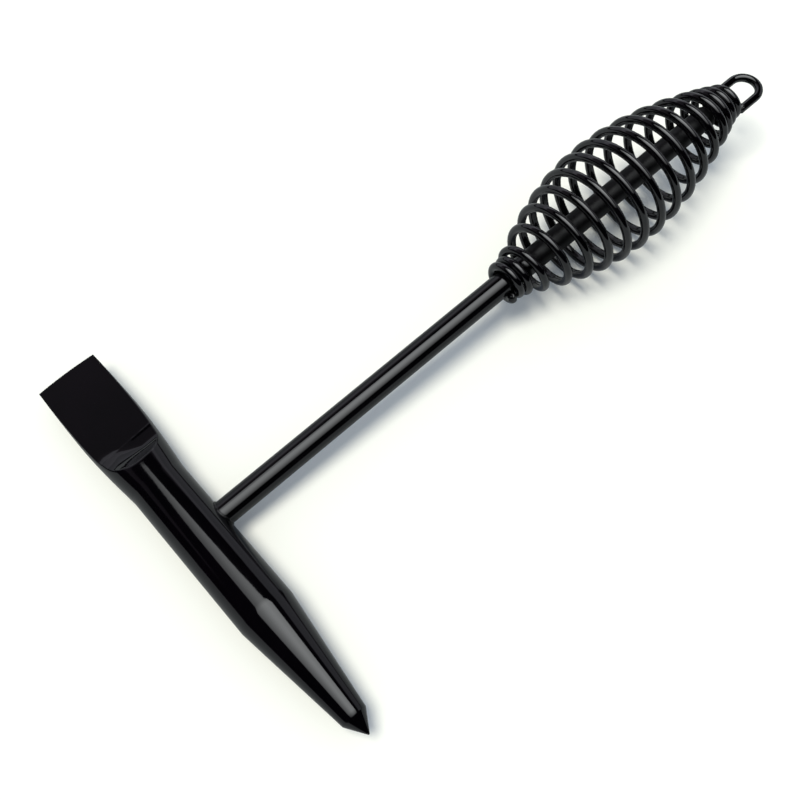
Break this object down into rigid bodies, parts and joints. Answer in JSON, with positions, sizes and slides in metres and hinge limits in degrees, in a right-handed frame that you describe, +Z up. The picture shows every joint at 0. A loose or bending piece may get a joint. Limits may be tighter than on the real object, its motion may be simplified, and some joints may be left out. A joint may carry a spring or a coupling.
{
  "type": "chipping hammer",
  "caption": "Welder's chipping hammer: steel head with a cone point and a chisel blade, rod handle, coil-spring grip and hanging loop.",
  "frame": {"origin": "on the surface that the hammer lies on, under the middle of its bounding box", "axes": "+X along the handle from head to tail (level, while the handle itself rises by about 3.8 degrees), +Y from the point to the chisel, +Z up"},
  "size_m": [0.3028, 0.1722, 0.0475],
  "materials": {
    "head_enamel": "gloss",
    "rod_enamel": "gloss",
    "wire_enamel": "gloss",
    "weld_enamel": "satin"
  },
  "bodies": {
    "hammer": {"hammer_head": "head_enamel", "handle_rod": "rod_enamel", "head_weld": "weld_enamel", "collar_weld": "weld_enamel"},
    "grip": {"spring_grip": "wire_enamel", "hanging_loop": "wire_enamel", "loop_weld_left": "weld_enamel", "loop_weld_right": "weld_enamel"}
  },
  "joints": [
    {"name": "grip_spring", "type": "slide", "parent": "hammer", "child": "grip", "axis": [0.9979, 0, 0.065], "range_m": [-0.004, 0.003], "stiffness_N_per_m": 2000, "deforming": ["spring_grip"]}
  ]
}
